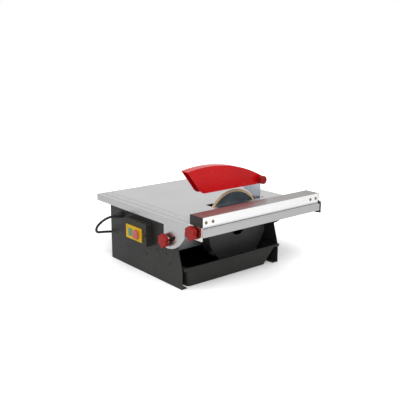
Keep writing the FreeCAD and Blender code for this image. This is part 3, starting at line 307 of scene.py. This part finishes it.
def diamond_grit(name, colour):
    """Sintered rim with pale grit in a duller bond."""
    surface = Surface(name, colour, 0.62, metallic=0.35)
    grit = surface.noise(1300, detail=2)
    surface.vary_colour(grit, 0.55, 1.35)
    surface.bump(grit, 0.00025, 0.7)
    return surface.material


def cast_metal(name, colour):
    surface = Surface(name, colour, 0.5, metallic=0.9)
    surface.vary_colour(surface.noise(60), 0.85, 1.1)
    surface.bump(surface.noise(800, detail=3), 0.00015, 0.4)
    return surface.material


DARK_GREY, TRAY_GREY = (0.019, 0.019, 0.018), (0.019, 0.019, 0.017)
KNOB_RED, BLACK = (0.24, 0.004, 0.003), (0.010, 0.0097, 0.009)

# the record's material slots and the function, colour and numbers that finish each
FINISHES = {
    "base_paint": (powder_coat, DARK_GREY, 0.42),
    "plate_steel": (brushed, (0.42, 0.42, 0.43), 0.42),
    "table_steel": (brushed, (0.47, 0.468, 0.472), 0.27),
    "zinc": (brushed, (0.52, 0.52, 0.50), 0.28),
    "bracket_steel": (brushed, (0.66, 0.64, 0.60), 0.18),
    "motor_paint": (powder_coat, (0.025, 0.025, 0.027), 0.4),
    "cast_aluminium": (cast_metal, (0.36, 0.36, 0.37)),
    "machined_steel": (brushed, (0.5, 0.5, 0.51), 0.24, (1, 0.02, 0.02)),
    "laminations": (brushed, (0.15, 0.15, 0.16), 0.5, (1, 0.05, 0.05)),
    "copper": (brushed, (0.5, 0.16, 0.05), 0.35, (1, 0.1, 0.1)),
    "fan_plastic": (moulded, BLACK, 0.5),
    "black_steel": (powder_coat, BLACK, 0.45),
    "capacitor_can": (moulded, (0.6, 0.6, 0.57), 0.4),
    "blade_steel": (blade_steel, (0.075, 0.09, 0.105), ARBOR),
    "diamond_rim": (diamond_grit, (0.55, 0.40, 0.26)),
    "housing_plastic": (moulded, (0.066, 0.064, 0.068), 0.5, 900, 0.0001),
    "knife_steel": (brushed, (0.52, 0.56, 0.62), 0.26, (1, 1, 0.02)),
    "guard_red": (glossy_guard, (0.52, 0.002, 0.004)),
    "spacer_plastic": (moulded, BLACK, 0.5),
    "knob_red": (moulded, KNOB_RED, 0.42),
    "tray_plastic": (moulded, TRAY_GREY, 0.45, 1000, 0.0001),
    # the fence's second, darker colour is painted shade on its top
    "fence_aluminium": (extrusion_with_painted_shade, (0.92, 0.92, 0.92), (0.36, 0.335, 0.325), 0.30),
    "cap_black": (moulded, (0.020, 0.018, 0.015), 0.45),
    "frame_yellow": (moulded, (0.52, 0.31, 0.001), 0.42),
    "button_green": (moulded, (0.10, 0.19, 0.10), 0.35, 1800, 0.00003),
    "button_red": (moulded, (0.40, 0.10, 0.08), 0.35, 1800, 0.00003),
    "cord_rubber": (rubber, (0.012, 0.012, 0.013)),
    "tie_black": (moulded, BLACK, 0.5),
    "brass": (brushed, (0.62, 0.46, 0.17), 0.25, (1, 0.02, 1)),
}


# nodes whose own finish differs from the rest of their slot
OWN_FINISHES = {
    "panel_rivets": (powder_coat, DARK_GREY, 0.42),
    "housing_screws": (brushed, (0.09, 0.09, 0.09), 0.4),
    "switch_screws": (brushed, (0.03, 0.03, 0.03), 0.4),
    "fence_screws": (brushed, (0.20, 0.15, 0.09), 0.35),
}


def finish_nodes():
    """Give each CAD node the finish of its slot, or its own."""
    made = {name: finish[0](name + "_finish", *finish[1:])
            for name, finish in {**FINISHES, **OWN_FINISHES}.items()}
    for part in frame["record"]["subparts"]:
        materials = nodes[part["node"]].data.materials
        materials.clear()
        materials.append(made.get(part["node"], made[part["material_slot"]]))


# ---------------------------------------------------------------- softened edges

# the corner radius of each node's edges, in millimetres
EDGES = {
    "blade_guard": 2.6, "base_shell": 0.6, "water_tray": 0.8, "blade_housing": 1.2,
    "blade_housing_cover": 0.4, "fence_end_caps": 0.6, "fence_bracket_front": 0.6,
    "fence_bracket_rear": 0.6, "fence_foot_rear": 0.6, "switch_frame": 0.6, "plug_body": 1.0,
    "guard_knob": 0.6, "fence_clamp_knob": 0.5, "tilt_knob": 0.5, "riving_knife_holder": 0.4,
    "switch_box": 0.5, "motor_mount_plate": 0.4, "run_capacitor": 0.3,
}


def soften_edges():
    for name, radius in EDGES.items():
        bevel = nodes[name].modifiers.new("softened_edges", "BEVEL")
        bevel.width = radius * MM
        bevel.segments = 3
        bevel.limit_method = "ANGLE"
        bevel.angle_limit = math.radians(40)


# ---------------------------------------------------------------- marks on the table

def add_bar(mesh, corner, size):
    """A thin box in a bmesh, from its lowest corner and its size."""
    made = bmesh.ops.create_cube(mesh, size=1)["verts"]
    for vertex in made:
        reach = Vector(vertex.co[i] * size[i] for i in range(3))
        vertex.co = Vector(corner) + Vector(size) * 0.5 + reach


def make_piece(name, mesh, body, material):
    data = bpy.data.meshes.new(name)
    mesh.to_mesh(data)
    mesh.free()
    piece = bpy.data.objects.new(name, data)
    bpy.context.scene.collection.objects.link(piece)
    data.materials.append(material)
    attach(piece, body)
    return piece


def make_table_scales(ink):
    """Printed lines: a cutting scale along the front edge and one beside the right edge."""
    low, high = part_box("table_top")
    inset, thick, line = 6 * MM, 0.06 * MM, 0.8 * MM
    border, front_line, rear_line = 4 * MM, 12 * MM, 36 * MM
    pitch, front_marks, side_marks, long_every = 10 * MM, 43, 35, 5
    front_long, front_short, side_long, side_short = 20 * MM, 10 * MM, 9 * MM, 5 * MM
    top = high.z - 0.02 * MM
    mesh = bmesh.new()
    for reach in (front_line, rear_line):
        size = (high.x - low.x - inset * 2, line, thick)
        add_bar(mesh, (low.x + inset, low.y + reach, top), size)
    for mark in range(front_marks):
        length = front_short if mark % long_every else front_long
        corner = (low.x + inset + mark * pitch, low.y + front_line, top)
        add_bar(mesh, corner, (line, length, thick))
    for mark in range(side_marks):
        length = side_short if mark % long_every else side_long
        corner = (high.x - border - length, low.y + inset + mark * pitch, top)
        add_bar(mesh, corner, (length, line, thick))
    make_piece("table_scales", mesh, "table", ink)


def make_tilt_scale(ink):
    """Degree lines along the lower edge of the front plate, about the table's pivot."""
    scale_radius, half_line, proud = 47 * MM, 0.3 * MM, 0.05 * MM
    tilt_range, mark_every, long_every = 45, 5, 15
    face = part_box("table_top")[0].y
    mesh = bmesh.new()
    for degrees in range(0, tilt_range + mark_every, mark_every):
        length = (4 if degrees % long_every else 6) * MM
        turn = math.radians(degrees - 90)
        outward = Vector((math.cos(turn), 0, math.sin(turn)))
        across = Vector((-outward.z, 0, outward.x)) * half_line
        start = PIVOT + outward * scale_radius
        end = start + outward * length
        corners = [start - across, start + across, end + across, end - across]
        mesh.faces.new([mesh.verts.new((c.x, face - proud, c.z)) for c in corners])
    make_piece("tilt_scale", mesh, "table", ink)


# ---------------------------------------------------------------- stage and light

FLOOR_REACH = 12
FLOOR_DROP = 0.4 * MM
# the camera sees the floor glow more with the distance from the origin, in metres
GLOW = {"From Min": 0.1, "From Max": 0.6, "To Min": 0.1, "To Max": 0.7}
AMBIENT, SEEN_WHITE = 0.62, 1.0
AIM = (0, 0, 0.1)


def make_floor():
    """A pale floor that glows to white away from the object, and only for the camera."""
    data = bpy.data.meshes.new("floor")
    mesh = bmesh.new()
    bmesh.ops.create_grid(mesh, x_segments=1, y_segments=1, size=FLOOR_REACH)
    mesh.to_mesh(data)
    mesh.free()
    floor = bpy.data.objects.new("floor", data)
    floor.location.z = -FLOOR_DROP
    bpy.context.scene.collection.objects.link(floor)
    surface = Surface("floor_card", (0.93, 0.93, 0.93), 0.75)
    surface.vary_colour(surface.noise(3), 0.995, 1.005)
    distance = surface.add("ShaderNodeVectorMath", operation="LENGTH")
    surface.link(surface.place, distance.inputs[0])
    glow = surface.add("ShaderNodeMapRange", interpolation_type="SMOOTHSTEP")
    for socket, value in GLOW.items():
        glow.inputs[socket].default_value = value
    surface.link(distance.outputs["Value"], glow.inputs["Value"])
    seen = surface.add("ShaderNodeMath", operation="MULTIPLY")
    surface.link(glow.outputs["Result"], seen.inputs[0])
    surface.link(surface.add("ShaderNodeLightPath").outputs["Is Camera Ray"], seen.inputs[1])
    surface.shader.inputs["Emission Color"].default_value = (1, 1, 1, 1)
    surface.link(seen.outputs[0], surface.shader.inputs["Emission Strength"])
    data.materials.append(surface.material)


def make_lamp(name, place, size, power):
    """A square soft lamp that points at the object."""
    data = bpy.data.lights.new(name, "AREA")
    data.size = size
    data.energy = power
    lamp = bpy.data.objects.new(name, data)
    lamp.location = place
    lamp.rotation_euler = (Vector(AIM) - Vector(place)).to_track_quat("-Z", "Y").to_euler()
    bpy.context.scene.collection.objects.link(lamp)


def make_light():
    """Pale surroundings that show white to the camera and in reflections, and soft lamps."""
    world = bpy.data.worlds.new("studio")
    bpy.context.scene.world = world
    world.use_nodes = True
    tree = world.node_tree
    background = tree.nodes["Background"]
    background.inputs["Color"].default_value = (1, 1, 1, 1)
    path = tree.nodes.new("ShaderNodeLightPath")
    seen = path.outputs["Is Camera Ray"]
    for name in ("Is Glossy Ray", "Is Transmission Ray"):
        both = tree.nodes.new("ShaderNodeMath")
        both.operation = "MAXIMUM"
        tree.links.new(seen, both.inputs[0])
        tree.links.new(path.outputs[name], both.inputs[1])
        seen = both.outputs[0]
    level = tree.nodes.new("ShaderNodeMapRange")
    level.inputs["To Min"].default_value = AMBIENT
    level.inputs["To Max"].default_value = SEEN_WHITE
    tree.links.new(seen, level.inputs["Value"])
    tree.links.new(level.outputs["Result"], background.inputs["Strength"])
    make_lamp("key", (1.6, -0.9, 2.2), 1.4, 48)
    make_lamp("fill", (-0.8, -2.2, 1.6), 1.6, 14)


make_camera()
make_cord()
finish_nodes()
soften_edges()
make_table_scales(moulded("scale_ink", (0.10, 0.10, 0.10), 0.5))
make_tilt_scale(moulded("plate_ink", (0.05, 0.05, 0.05), 0.5))
make_floor()
make_light()
bpy.context.scene.view_settings.view_transform = "Standard"
